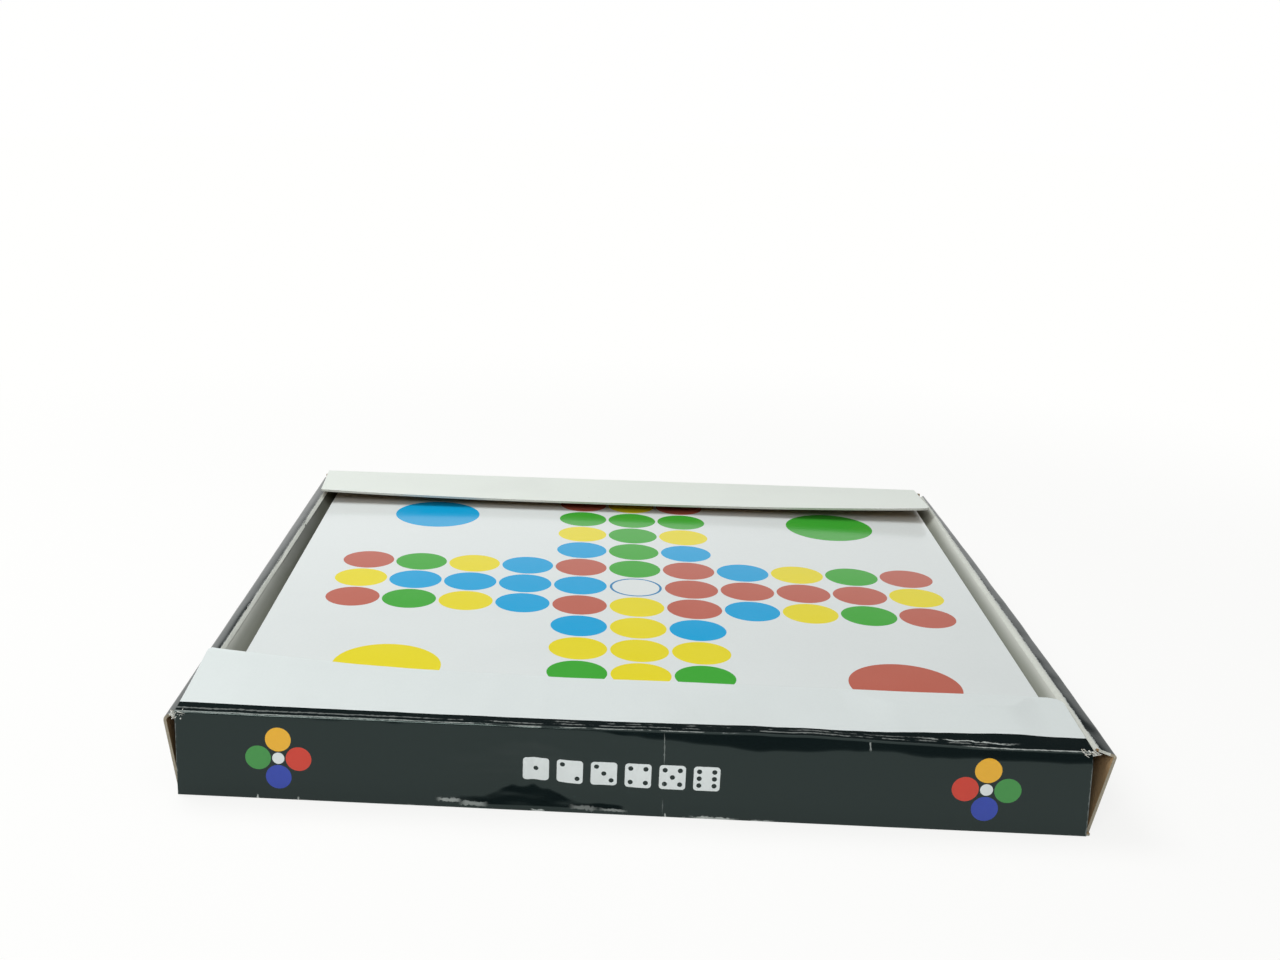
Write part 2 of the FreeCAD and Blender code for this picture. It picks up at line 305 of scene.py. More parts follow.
shape = bmesh.new()
bmesh.ops.create_circle(shape, cap_ends=True, segments=floor_sides, radius=floor_radius)
bmesh.ops.translate(shape, vec=(0, 0, -floor_drop), verts=shape.verts)
floor = add_object("studio_floor", mesh_of(shape, "studio_floor"))
material, shader, place, facing = new_material("floor_paper", roughness=0.9, gloss=0.1)
tree = material.node_tree
mottle = cloud(place, 6.0, detail=3.0)
feed(shader.inputs["Base Color"], mix(mottle, *floor_tones))
glow = tree.nodes.new("ShaderNodeEmission")
glow.inputs["Color"].default_value = (1.0, 1.0, 0.99, 1)
seen, mirrored = direct_rays(tree)
blend = tree.nodes.new("ShaderNodeMixShader")
far = distance(*split(place)[:2]).between(floor_near, floor_far)
feed(blend.inputs[0], seen.most(mirrored) * (far * (1 - floor_own_white) + floor_own_white))
feed(blend.inputs[1], shader.outputs[0])
feed(blend.inputs[2], glow.outputs[0])
feed(tree.nodes["Material Output"].inputs["Surface"], blend.outputs[0])
floor.data.materials.append(material)
print("floor radius", floor_radius)

# %% Dome and lamps
dome_level = 0.49
room_dark = 0.95
rear_dark = 0.97
right_dark = 0.45

world = bpy.data.worlds.new("studio_dome")
scene.world = world
world.use_nodes = True
tree = world.node_tree
heading = tree.nodes.new("ShaderNodeTexCoord").outputs["Generated"]
across, away, up = split(heading)
room = (away * -1).between(0.2, 0.5) * band(up, (0.02, 0.22), (0.56, 0.44))
rear = away.between(0.3, 0.6) * band(up, (0.28, 0.362), (0.76, 0.64))
right = across.between(0.2, 0.7) * band(up, (0.06, 0.12), (0.75, 0.5))
kept = (room * -room_dark + 1) * (rear * -rear_dark + 1) * (right * -right_dark + 1)
seen, mirrored = direct_rays(tree)
level = (mirrored * (1 - dome_level) + dome_level) * kept
background = tree.nodes["Background"]
feed(background.inputs["Strength"], level.most(seen))
background.inputs["Color"].default_value = (1.0, 1.0, 0.995, 1)


def soft_lamp(name, place, size, power):
    """A square lamp that faces the carton."""
    data = bpy.data.lights.new(name, "AREA")
    data.size = size
    data.energy = power
    lamp = add_object(name, data)
    lamp.location = place
    lamp.rotation_euler = Vector(place).to_track_quat("Z", "Y").to_euler()
    print(name, "power", power)


soft_lamp("window_lamp", (-0.40, 0.16, 0.85), 0.5, 4.6)
soft_lamp("front_lamp", (-0.25, -1.0, 0.75), 0.4, 4.3)

# %% [markdown]
# ## Shared effects
#
# Card shows the same few things everywhere: a fine fibre, a film of plastic that ripples, print worn off in
# patches or cracked in thin lines, and specks of dirt. Each is a node group, made once and placed in every
# material with its own values. A group gives out masks and heights only; the shader stays in the material.

# %% Make and place a group
def new_group(name, inputs, outputs):
    """A node group with number sockets, and a Vector input called Place."""
    tree = bpy.data.node_groups.new(name, "ShaderNodeTree")
    tree.interface.new_socket("Place", in_out="INPUT", socket_type="NodeSocketVector")
    for word in inputs:
        tree.interface.new_socket(word, in_out="INPUT", socket_type="NodeSocketFloat")
    for word in outputs:
        tree.interface.new_socket(word, in_out="OUTPUT", socket_type="NodeSocketFloat")
    given = tree.nodes.new("NodeGroupInput")
    result = tree.nodes.new("NodeGroupOutput")
    fields = {word: Field(given.outputs[word]) for word in inputs}
    return given.outputs["Place"], fields, result


def place_group(name, place, **values):
    """A copy of a group in a material; its outputs come back as fields."""
    node = place.id_data.nodes.new("ShaderNodeGroup")
    node.node_tree = bpy.data.node_groups[name]
    feed(node.inputs["Place"], place)
    for word, value in values.items():
        feed(node.inputs[word], value)
    return {socket.name: Field(socket) for socket in node.outputs}


# %% Fibre, film, scuffs, cracks and specks
def make_fibre():
    """Fine grain of pressed card: a tone near 1 and a height."""
    place, given, result = new_group("fibre", ["Contrast"], ["Tone", "Height"])
    fine = cloud(place, 1400.0, detail=3.0, stretch=(1.0, 0.45, 1.0))
    broad = cloud(place, 28.0, detail=2.0)
    tone = (fine * 0.6 + broad * 0.4 - 0.5) * given["Contrast"] + 1.0
    feed(result.inputs["Tone"], tone)
    feed(result.inputs["Height"], fine)


def make_film():
    """Clear film pressed on the print: long ripples, a slight orange peel and streaks of dulled gloss."""
    place, given, result = new_group("film", ["Dullness"], ["Roughness", "Height"])
    ripple = cloud(place, 60.0, detail=1.0, stretch=(0.5, 1.0, 1.0))
    peel = cloud(place, 700.0, detail=1.0)
    rubbed = cloud(place, 90.0, detail=4.0, stretch=(0.3, 1.0, 1.0))
    feed(result.inputs["Roughness"], given["Dullness"] + (rubbed - 0.5) * 0.12)
    feed(result.inputs["Height"], ripple + peel * 0.05)


def make_scuff():
    """Print worn off along a fold: Distance is from the fold, and the mask reaches out to Width at most."""
    place, given, result = new_group("scuff", ["Distance", "Width", "Amount"], ["Mask"])
    patchy = cloud(place, 55.0, detail=2.0)
    ragged = cloud(place, 620.0, detail=4.0)
    reach = (patchy * 0.55 + ragged * 0.45 + given["Amount"] - 1.0) * given["Width"] * 5.0
    softness = given["Width"] * 0.35
    gone = (reach.least(given["Width"]) - given["Distance"].size()) / softness
    feed(result.inputs["Mask"], gone.most(0.0).least(1.0))


def make_crack():
    """A thin broken line: Distance is from its course, which strays by Wander; Amount of it is left."""
    place, given, result = new_group("crack", ["Distance", "Width", "Wander", "Amount"], ["Mask"])
    stray = (cloud(place, 75.0, detail=4.0) - 0.5) * given["Wander"] * 4.0
    broken = cloud(place, 190.0, detail=3.0) + given["Amount"] - 1.0
    thick = given["Width"] * (cloud(place, 800.0, detail=2.0) * 2.4 - 0.2)
    line = (thick - (given["Distance"] + stray).size()) / (given["Width"] * 0.5)
    feed(result.inputs["Mask"], line.most(0.0).least(1.0) * broken.between(-0.05, 0.05))


def make_specks():
    """Small separate marks, such as dirt: Spacing is cells in a metre, and Size a share of a cell."""
    place, given, result = new_group("specks", ["Spacing", "Size"], ["Mask"])
    cells = place.id_data.nodes.new("ShaderNodeTexVoronoi")
    feed(cells.inputs["Vector"], place)
    feed(cells.inputs["Scale"], given["Spacing"])
    kept = split(cells.outputs["Color"])[0].above(0.72)
    spot = Field(cells.outputs["Distance"]).below(given["Size"])
    feed(result.inputs["Mask"], spot * kept)


for make_group in (make_fibre, make_film, make_scuff, make_crack, make_specks):
    make_group()
print("groups", [group.name for group in bpy.data.node_groups])

# %% [markdown]
# ## Card
#
# A panel of the carton has three looks: the printed side, the raw brown side and the cut edge between them.
# Which one a point shows follows from the way the surface faces, so one material serves a whole panel.
# The face's own direction comes from the Normal output of Texture Coordinate.

# %% Card with a printed side and a raw side
raw_brown = screen(172, 142, 104)
cut_grey = screen(160, 152, 134)
worn_white = screen(206, 212, 208)
print_black = screen(15, 25, 26)
coat_white = screen(223, 230, 229)
printed_turn = 0.35
raw_turn = -0.5
raw_roughness = 0.85


def toward(facing, outward):
    """How far the surface faces the given way, from -1 to 1."""
    node = facing.id_data.nodes.new("ShaderNodeVectorMath")
    node.operation = "DOT_PRODUCT"
    feed(node.inputs[0], facing)
    node.inputs[1].default_value = Vector(outward).normalized()
    return Field(node.outputs["Value"])


def finish_card(shader, place, facing, outward, printed, roughness, height, depth, edge=cut_grey):
    """Puts the printed side, the raw side and the cut edge together on a card's shader."""
    side = toward(facing, outward)
    fibre = place_group("fibre", place, Contrast=0.5)
    raw = tint(raw_brown, fibre["Tone"])
    cut = tint(edge, fibre["Tone"])
    front = side.above(printed_turn)
    back = side.below(raw_turn)
    colour = mix(back, mix(front, cut, printed), raw)
    feed(shader.inputs["Base Color"], colour)
    feed(shader.inputs["Roughness"], (roughness - raw_roughness) * front + raw_roughness)
    bump(shader, (height - fibre["Height"]) * front + fibre["Height"], depth)


print("raw side", [round(v, 2) for v in raw_brown])

# %% [markdown]
# ## Black print under clear film
#
# The outside is black ink below a glossy film with a cool sheen. Where the card is folded the film cracks
# and white fibre shows, so each panel gives the distance to its own folds: the scuff group wears the print
# off there in patches, and the crack group draws a thin broken line.

# %% Black print
film_gloss = 0.42
film_sheen = (0.80, 1.0, 0.93, 1)
film_depth = 0.0001
worn_roughness = 0.75


def black_print(place, fold_distance, art=None, marks=None, wear_share=1.0):
    """Colour, roughness and height of the black printed side."""
    fibre = place_group("fibre", place, Contrast=0.35)
    film = place_group("film", place, Dullness=0.14)
    ink = tint(print_black, fibre["Tone"])
    if art:
        ink = art(place, ink)
    worn = place_group("scuff", place, Distance=fold_distance, Width=0.0005, Amount=0.56)["Mask"]
    line = place_group("crack", place, Distance=fold_distance, Width=0.00022, Wander=0.00015,
                       Amount=0.5)["Mask"]
    worn = worn.most(line) * (0.8 * wear_share)
    if marks:
        worn = worn.most(marks)
    dirt = place_group("specks", place, Spacing=75.0, Size=0.03)["Mask"]
    colour = mix(worn, mix(dirt * 0.4, ink, worn_white), worn_white)
    roughness = (film["Roughness"] - worn_roughness) * worn.opposite() + worn_roughness
    return colour, roughness, film["Height"] + worn * 0.4


def film_material(name):
    """A material whose gloss is that of the clear film."""
    material, shader, place, facing = new_material(name, gloss=film_gloss)
    shader.inputs["Specular Tint"].default_value = film_sheen
    return material, shader, place, facing


def black_panel(name, outward, folds):
    """A plain black panel; folds takes the three parts of the place and gives the distance to the folds."""
    material, shader, place, facing = film_material(name)
    colour, roughness, height = black_print(place, folds(*split(place)))
    finish_card(shader, place, facing, outward, colour, roughness, height, film_depth)
    return material


def wear(node, finish):
    """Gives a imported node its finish."""
    nodes[node].data.materials.clear()
    nodes[node].data.materials.append(finish)


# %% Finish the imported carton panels
base_low, base_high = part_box("base_panel")
wall_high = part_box("rear_wall")[1]


def upright_folds(across, along, up):
    """Folds of an end wall: the base, the top and both ends."""
    ends = across.size().up_to(wall_high.x)
    return (up - base_low.z).least(up.up_to(wall_high.z)).least(ends)


def side_folds(across, along, up):
    """Folds of a side wall: the base and the rim, and the open ends."""
    ends = along.size().up_to(base_high.y)
    return (up - base_low.z).least(up.up_to(wall_high.z)).least(ends)


def base_folds(across, along, up):
    """Folds of the base: all four sides."""
    return across.size().up_to(base_high.x).least(along.size().up_to(base_high.y))


wear("base_panel", black_panel("base_card", (0, 0, -1), base_folds))
wear("rear_wall", black_panel("rear_card", (0, 1, 0), upright_folds))
sides = ("left", -1), ("right", 1)
for side, sign in sides:
    for end in ("front", "rear"):
        wear(f"{end}_{side}_tab", black_panel(f"{end}_{side}_tab_card", (sign, 0, 0), side_folds))
print("carton panels finished")

# %% [markdown]
# ## White coat
#
# The sides of the sheet that turn inwards are left white under a satin coat. It is never a flat white: the
# fibre shows a little, and hands leave faint grey marks. The side flaps, which slope down into the tray,
# were printed without the coat and are grey. Near the board they carry painted shade, a darker grey. The
# left one darkens towards the rear as well.

# %% White print and the side flaps
flap_grey = screen(208, 211, 203)
# Painted shade: the darker grey that the side flaps take where they meet the board.
flap_painted_shade_grey = screen(138, 142, 132)
flap_rear_grey = screen(78, 82, 74)
rear_darkening = {"left": 0.9, "right": 0.0}
board_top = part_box("game_board")[1].z
fibre_depth = 0.00002


def white_print(place, white=coat_white):
    """Colour, roughness and height of the white coated side."""
    fibre = place_group("fibre", place, Contrast=0.07)
    handled = cloud(place, 22.0, detail=4.0).between(0.5, 0.78)
    dirt = place_group("specks", place, Spacing=70.0, Size=0.03)["Mask"]
    coat = tint(white, fibre["Tone"])
    coat = mix(handled * 0.10, coat, screen(190, 192, 188))
    coat = mix(dirt * 0.5, coat, screen(120, 122, 118))
    roughness = cloud(place, 130.0, detail=3.0) * 0.14 + 0.36
    return coat, roughness, fibre["Height"]


def side_flap_material(name, outward, darkening):
    """Greyed white card, with painted shade low down, and darker by an amount towards the rear."""
    material, shader, place, facing = new_material(name, gloss=0.35)
    colour, roughness, height = white_print(place, flap_grey)
    across, along, up = split(place)
    streaks = cloud(place, 120.0, detail=3.0, stretch=(1.0, 0.1, 1.0)) * 0.0014
    # Painted shade: the flap turns darker low down, towards the board's edge.
    painted_low_shade = (up + streaks).between(board_top + 0.0034, board_top - 0.0002)
    colour = mix(painted_low_shade, colour, flap_painted_shade_grey)
    rearward = (along + streaks * 6.0).between(-0.07, 0.07) * darkening
    colour = mix(rearward, colour, flap_rear_grey)
    finish_card(shader, place, facing, outward, colour, roughness, height, fibre_depth)
    return material


for side, sign in sides:
    finish = side_flap_material(f"{side}_flap_card", (-sign, 0, 1), rear_darkening[side])
    wear(f"{side}_side_flap", finish)
print("side flaps finished")

# %% [markdown]
# ## The printed board
#
# The board has the usual ludo cross: three rows of dots in each arm, a ring in the middle and four home
# circles in the corners. All dots lie on one square grid, so the nearest grid point and its row and column
# numbers decide the colour. That keeps the print sharp at any distance and needs no picture.

# %% Board print
dot_pitch = 0.0215
dot_share = 0.476
home_place = 4.0
home_share = 0.862
ring_share = 0.446
ring_line_share = 0.022
arm_length = 5
print_middle = (0.0049, 0.0015)
red_home_shift = 0.07
board_red = screen(197, 107, 90)
board_blue = screen(18, 171, 227)
board_yellow = screen(241, 226, 46)
board_green = screen(65, 175, 55)
board_white = screen(232, 238, 237)
ring_blue = screen(60, 140, 190)


def board_print(place):
    """Colour of the printed face."""
    across, along, up = split(place)
    across = (across - print_middle[0]) / dot_pitch
    along = (along - print_middle[1]) / dot_pitch
    column = across.whole()
    row = along.whole()
    inner = column.size().least(row.size())
    outer = column.size().most(row.size())
    on_cross = inner.below(1.5) * outer.above(0.5) * outer.below(arm_length + 0.5)
    dot = distance(across - column, along - row).below(dot_share) * on_cross
    flank = steps(outer - 1, [board_red, board_blue, board_yellow, board_green, board_red])
    arm = column.above(0.5) + row.above(0.5) * 2 + row.below(-0.5) * 3
    lane = steps(arm, [board_blue, board_red, board_green, board_yellow])
    lane = mix(outer.above(arm_length - 0.5), lane, board_yellow)
    dot_colour = mix(inner.above(0.5), lane, flank)
    aside = across.size() - home_place - across.above(0) * along.below(0) * red_home_shift
    home = distance(aside, along.size() - home_place).below(home_share)
    corner = across.above(0) + along.above(0) * 2
    home_colour = steps(corner, [board_yellow, board_red, board_blue, board_green])
    ring = (distance(across, along) - ring_share).size().below(ring_line_share)
    colour = mix(dot, board_white, dot_colour)
    colour = mix(home, colour, home_colour)
    return mix(ring, colour, ring_blue)


def board_material():
    """Printed top, grey board edges and underside."""
    material, shader, place, facing = new_material("board_card", gloss=0.4)
    fibre = place_group("fibre", place, Contrast=0.06)
    printed = tint(board_print(place), fibre["Tone"])
    dirt = place_group("specks", place, Spacing=38.0, Size=0.022)["Mask"]
    printed = mix(dirt * 0.6, printed, screen(110, 112, 110))
    roughness = cloud(place, 60.0, detail=3.0) * 0.08 + 0.12
    finish_card(shader, place, facing, (0, 0, 1), printed, roughness, fibre["Height"], fibre_depth)
    return material


wear("game_board", board_material())
print("board printed on a pitch of", dot_pitch)

# %% [markdown]
# ## Pawns and die
#
# The loose pieces are glossy moulded plastic. The colour is nearly even, so what makes it plastic is a
# slightly uneven gloss, a faint flow in the colour and a fine rubbed grain.

# %% Plastic of the pawns
pawn_colours = {
    "red": screen(206, 50, 40),
    "yellow": screen(240, 186, 40),
    "green": screen(60, 142, 66),
    "blue": screen(44, 66, 172),
}
pawns_of_a_colour = 4
rubbed_depth = 0.00002


def plastic(name, colour):
    """Moulded plastic in one colour."""
    material, shader, place, facing = new_material(name, gloss=0.5)
    flow = cloud(place, 240.0, detail=2.0)
    tone = (flow - 0.5) * 0.25 + 1.0
    rubbed = cloud(place, 900.0, detail=3.0)
    feed(shader.inputs["Base Color"], tint(colour, tone))
    feed(shader.inputs["Roughness"], rubbed * 0.2 + 0.16)
    bump(shader, rubbed, rubbed_depth)
    return material


for colour_name, colour in pawn_colours.items():
    moulded = plastic(f"{colour_name}_plastic", colour)
    for number in range(1, pawns_of_a_colour + 1):
        wear(f"{colour_name}_pawn_{number}", moulded)
print("pawns finished", len(pawn_colours) * pawns_of_a_colour)

# %% [markdown]
# The die's pips are small hollows with black paint in them. A point lies in a hollow when it is below all
# the flat faces and yet well inside the ball that rounds the corners, so its place alone tells.

# %% Plastic of the die, with black pips
die_low, die_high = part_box("die")
die_middle = (die_low + die_high) / 2
die_half = (die_high.z - die_low.z) / 2
pip_hollow = 0.00008
corner_ball_share = 1.30
die_walls = [face for face in nodes["die"].data.polygons if abs(face.normal.z) < 0.01]
die_wall = max(die_walls, key=lambda face: face.area).normal


def die_plastic():
    """White plastic, with black paint wherever the surface lies below a flat face."""
    material, shader, place, facing = new_material("die_plastic", gloss=0.5)
    flow = cloud(place, 300.0, detail=2.0)
    across, along, up = split(place)
    across = across - die_middle.x
    along = along - die_middle.y
    up = up - die_middle.z
    first = across * die_wall.x + along * die_wall.y
    second = along * die_wall.x - across * die_wall.y
    highest = first.size().most(second.size()).most(up.size())
    inside = distance(distance(first, second), up).below(die_half * corner_ball_share)
    pip = highest.below(die_half - pip_hollow) * inside
    white = tint(screen(238, 236, 228), (flow - 0.5) * 0.1 + 1.0)
    feed(shader.inputs["Base Color"], mix(pip, white, screen(24, 24, 26)))
    feed(shader.inputs["Roughness"], flow * 0.15 + 0.18 + pip * 0.2)
    return material


wear("die", die_plastic())
print("die half", round(die_half, 4))

# %% [markdown]
# ## Front wall
#
# The front wall is what the camera sees most of. Its card isn't flat: below the fold it leans in on the
# right, and low in the middle it is pushed in. Both show as dark shapes in the gloss. The fold itself isn't
# level either: it stands a little higher on the left, and the right end isn't cut quite square. So the wall
# is a grid that is bent by a formula and then given its thickness.

# %% Sheets of card from a bent grid
card = 0.0009
sharp_angle = math.radians(35)
half_depth = base_high.y
crease_level = wall_high.z
panel_half = wall_high.x


def ramp(value, painted_low_shade, high):
    """0 at low, 1 at high and smooth between."""
    share = min(1.0, max(0.0, (value - painted_low_shade) / (high - painted_low_shade)))
    return share * share * (3 - 2 * share)


def waver(x, scale, seed):
    """Smooth noise from about -1 to 1 along one line."""
    return noise.fractal(Vector((x * scale, 0.0, seed)), 1.0, 2.0, 3)


def bent_sheet(name, columns, rows, bend):
    """A sheet of card: a grid whose points go where bend(u, v) says, thickened on its raw side."""
    shape = bmesh.new()
    bmesh.ops.create_grid(shape, x_segments=columns, y_segments=rows, size=1.0)
    along = shape.verts.layers.float.new("along")
    for vertex in shape.verts:
        place, way = bend((vertex.co.x + 1) / 2, (vertex.co.y + 1) / 2)
        vertex.co = place
        vertex[along] = way
    shape.normal_update()
    bmesh.ops.solidify(shape, geom=shape.faces[:], thickness=card)
    bmesh.ops.recalc_face_normals(shape, faces=shape.faces[:])
    mesh = mesh_of(shape, name)
    mesh.shade_smooth()
    mesh.set_sharp_from_angle(angle=sharp_angle)
    piece = add_object(name, mesh)
    print(name, "faces", len(mesh.polygons), "size", [round(v, 4) for v in piece.dimensions])
    return piece


# %% Bend of the front wall
bend_round = 0.0007
crease_rise = 0.0012
lean_slope = 0.38
lean_left = 0.0009
lean_right = 0.0036
lean_hump = 0.0016
lean_hump_place = 0.041
lean_hump_width = 0.016
dent_slope = 0.36
dent_foot = 0.0013
dent_round = 0.0030
dent_height = 0.0052
dent_place = -0.031
dent_width = 0.010
dent_tail = 0.0014
dent_start, dent_end = -0.062, 0.008
dent_fade = 0.014
dent_ripple = 0.00012
end_inset = 0.0010
end_slant = 0.0009
wall_foot = 0.0001
foot_out = 0.00012


def crease_height(x):
    """Level of the front fold."""
    return crease_level + crease_rise * (1 - ramp(x, 0.055, 0.11)) + 0.00015 * waver(x, 30.0, 1.0)


def bell(x, middle, width):
    """1 at the middle, falling away on both sides."""
    return math.exp(-((x - middle) / width) ** 2)


def turned_by(depth, softness=bend_round):
    """Grows from zero and then evenly, for a bend that starts softly."""
    return math.hypot(max(0.0, depth), softness) - softness


def dent_top(x):
    """How far up from its foot the dent's steep part reaches."""
    tail = dent_tail * ramp(x, dent_start, dent_start + 0.012) * ramp(x, dent_end, dent_end - 0.016)
    return (dent_height * bell(x, dent_place, dent_width) + tail) * (1.0 + 0.45 * waver(x, 110.0, 5.0))


def dent_depth(x, z):
    """How far the dent pushes the wall in."""
    top = dent_top(x)
    raised = max(0.0, z - dent_foot)
    held = ramp(top, 0.0, 0.0012)
    falling = turned_by(raised - top, dent_round) * (1.0 + (top + dent_round) / dent_fade)
    ripple = dent_ripple * noise.noise(Vector((x * 110.0, z * 420.0, 2.0))) * ramp(raised, 0.0, 0.002)
    return held * (max(0.0, dent_slope * (raised - falling)) + ripple)


def front_lean(x, z):
    """How far the front wall's outer face lies behind the flat plane."""
    reach = lean_left + (lean_right - lean_left) * ramp(x, -0.02, 0.03)
    reach += lean_hump * bell(x, lean_hump_place, lean_hump_width) + 0.0009 * waver(x, 60.0, 3.0)
    back = lean_slope * turned_by(z - (crease_height(x) - max(0.0, reach)))
    wave = 0.00010 * noise.noise(Vector((x * 22.0, z * 40.0, 7.0)))
    return back + dent_depth(x, z) + wave - foot_out


def front_bend(u, v):
    """Point of the front wall's outer face, and its height."""
    x = panel_half * (2 * u - 1) - (end_inset + end_slant * v) * u
    z = wall_foot + (crease_height(x) - wall_foot) * v
    return Vector((x, front_lean(x, z) - half_depth, z)), z


front_wall = bent_sheet("front_wall_card", 280, 64, front_bend)

# %% [markdown]
# The front carries a plain decoration: a row of die faces in the middle, and four coloured discs round a
# small white one at each end. It is printed by formula, as the board is.

# %% Front print
die_row_pitch = 0.0104
die_face_half = 0.0040
die_face_round = 0.0011
die_row_middle = (-0.002, 0.0135)
row_pip_step = 0.0023
row_pip_radius = 0.00078
disc_group_place = 0.1075
disc_group_level = 0.0140
disc_step = 0.0063
disc_radius = 0.0040
disc_middle_radius = 0.0019
print_white = screen(232, 238, 237)


def die_row(across, up):
    """Masks of the six die faces and of their pips."""
    across = (across - die_row_middle[0]) / die_row_pitch + 3.5
    number = across.whole()
    across = (across - number) * die_row_pitch
    up = up - die_row_middle[1]
    flat = die_face_half - die_face_round
    corner = distance((across.size() - flat).most(0), (up.size() - flat).most(0))
    face = corner.below(die_face_round) * number.above(0.5) * number.below(6.5)
    odd = number.near(1).most(number.near(3)).most(number.near(5))
    middle = distance(across, up).below(row_pip_radius) * odd
    beside = across.size() - row_pip_step
    falling = (across * up).below(0)
    wanted = falling * number.above(1.5) + falling.opposite() * number.above(3.5)
    corners = distance(beside, up.size() - row_pip_step).below(row_pip_radius) * wanted
    level = distance(beside, up).below(row_pip_radius) * number.above(5.5)
    return face, middle.most(corners).most(level)


def front_art(place, ink):
    """The front wall's print laid over the black ink."""
    across, along, up = split(place)
    face, pips = die_row(across, up)
    colour = mix(face * pips.opposite(), ink, print_white)
    aside = across.size() - disc_group_place
    raised = up - disc_group_level
    flat_discs = distance(aside.size() - disc_step, raised).below(disc_radius)
    tall_discs = distance(aside, raised.size() - disc_step).below(disc_radius)
    flat_colour = steps(aside.above(0), [screen(214, 62, 46), screen(70, 150, 72)])
    tall_colour = steps(raised.above(0), [screen(52, 70, 176), screen(244, 184, 48)])
    colour = mix(flat_discs, colour, flat_colour)
    colour = mix(tall_discs, colour, tall_colour)
    return mix(distance(aside, raised).below(disc_middle_radius), colour, print_white)


# %% [markdown]
# Handling leaves marks of its own: an upright scratch, nicks along the lower edge, a worn stretch and two
# rubbed streaks. Each is a short stroke from one point to another, given across and up the wall.

# %% Marks on the front wall
strokes = [
    ((0.0105, 0.0285), (0.0110, 0.0170), 0.00020, 0.66, 0.28),
    ((0.0109, 0.0160), (0.0112, 0.0000), 0.00020, 0.55, 0.16),
    ((-0.1143, 0.0016), (-0.1140, -0.0010), 0.00040, 0.85, 0.85),
    ((-0.1017, 0.0014), (-0.1015, -0.0010), 0.00030, 0.85, 0.60),
    ((-0.0295, 0.0004), (-0.0245, 0.0003), 0.00050, 0.85, 0.85),
    ((0.0119, 0.0016), (0.0121, -0.0010), 0.00035, 0.85, 0.80),
    ((0.0185, 0.0003), (0.0350, 0.0003), 0.00060, 0.62, 0.80),
    ((0.0320, 0.0002), (0.0460, 0.0002), 0.00035, 0.52, 0.60),
    ((-0.0590, 0.0026), (-0.0500, 0.0022), 0.00070, 0.80, 0.55),
    ((-0.0520, 0.0017), (-0.0420, 0.0014), 0.00080, 0.75, 0.45),
    ((-0.0180, 0.0021), (-0.0080, 0.0016), 0.00070, 0.70, 0.30),
    ((-0.0090, 0.0017), (0.0010, 0.0013), 0.00045, 0.70, 0.40),
    ((0.0720, 0.0290), (0.0722, 0.0246), 0.00030, 0.85, 0.45),
]


def stroke_marks(place):
    """Mask of all strokes together."""
    across, along, up = split(place)
    marks = None
    for start, end, width, amount, strength in strokes:
        way = Vector(end) - Vector(start)
        length = way.length
        way = way / length
        from_start = across - start[0]
        raised = up - start[1]
        reached = from_start * way.x + raised * way.y
        beside = raised * way.x - from_start * way.y
        within = band(reached, (0, length * 0.3), (length, length * 0.7))
        line = place_group("crack", place, Distance=beside, Width=width, Wander=0.0002, Amount=amount)
        mark = line["Mask"] * within * strength
        marks = marks.most(mark) if marks else mark
    return marks


def front_folds(across, along, up):
    """Folds of the front wall: the base and both ends."""
    right = across.up_to(panel_half - end_inset) - up * (end_slant / crease_level)
    return (up - base_low.z).least(across + panel_half).least(right)


def front_wall_material():
    """Black film with the decoration and the marks of handling."""
    material, shader, place, facing = film_material("front_card")
    folds = front_folds(*split(place))
    marks = stroke_marks(place)
    colour, roughness, height = black_print(place, folds, front_art, marks, wear_share=0.3)
    finish_card(shader, place, facing, (0, -1, 0), colour, roughness, height, film_depth)
    return material


front_wall.data.materials.append(front_wall_material())
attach(front_wall, "carton")
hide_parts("front_wall")
print("front wall printed, with", len(strokes), "marks")

# %% [markdown]
# ## Flaps
#
# Each flap is the same sheet as its wall, folded over. It springs up a little from the crease, and its
# corners curl.

# %% Bend of a flap
fold_radius = 0.0009
flap_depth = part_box("front_flap")[1].y + half_depth
flap_corners = (0.0012, 0.0042)
fold_rows = 8
flap_rows = 44


def flap_bend(left, right, taper, crease, crease_lean, crease_slope, free_edge, crown, side):
    """A function that bends a grid into a flap; side is -1 at the front and 1 at the rear."""
    fold_share = fold_rows / (fold_rows + flap_rows)

    def bend(u, v):
        x = left + (right - left) * u
        steep = math.atan2(1.0, crease_slope(x))
        rise = (free_edge(x) - crease(x) - fold_radius) / flap_depth
        shallow = math.atan(rise)
        turn = steep - (steep - shallow) * min(1.0, v / fold_share)
        inward = fold_radius * (math.sin(steep) - math.sin(turn)) + crease_lean(x)
        z = crease(x) + fold_radius * (math.cos(turn) - math.cos(steep))
        way = fold_radius * (steep - turn)
        if v > fold_share:
            share = (v - fold_share) / (1 - fold_share)
            length = flap_depth - inward
            reached = length * share
            narrow = []
            for corner in flap_corners:
                to_edge = max(0.0, reached - (length - corner))
                narrow.append(corner - math.sqrt(max(0.0, corner ** 2 - to_edge ** 2)))
            z += reached * rise * (0.8 + 0.2 * share) + crown(x, length - reached, length)
            x += (narrow[0] + taper * share) * (1 - u) - narrow[1] * u
            inward += reached
            way += reached
        return Vector((x, side * (half_depth - inward), z)), way

    return bend


# %% Front and rear flaps
front_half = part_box("front_flap")[1].x
rear_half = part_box("rear_flap")[1].x
left_over = 0.0012
left_taper = 0.0016
rear_short = 0.0016
rear_taper = 0.0027
front_spring, rear_spring = 0.0288, 0.0274
curl_rise, curl_start, curl_reach = 0.0053, 0.02, 0.117
rear_lift, rear_lift_middle, rear_lift_reach = 0.0016, -0.01, 0.125
turned_depth = 0.0105
turned_rise = 0.0012
slope_step = 0.0004


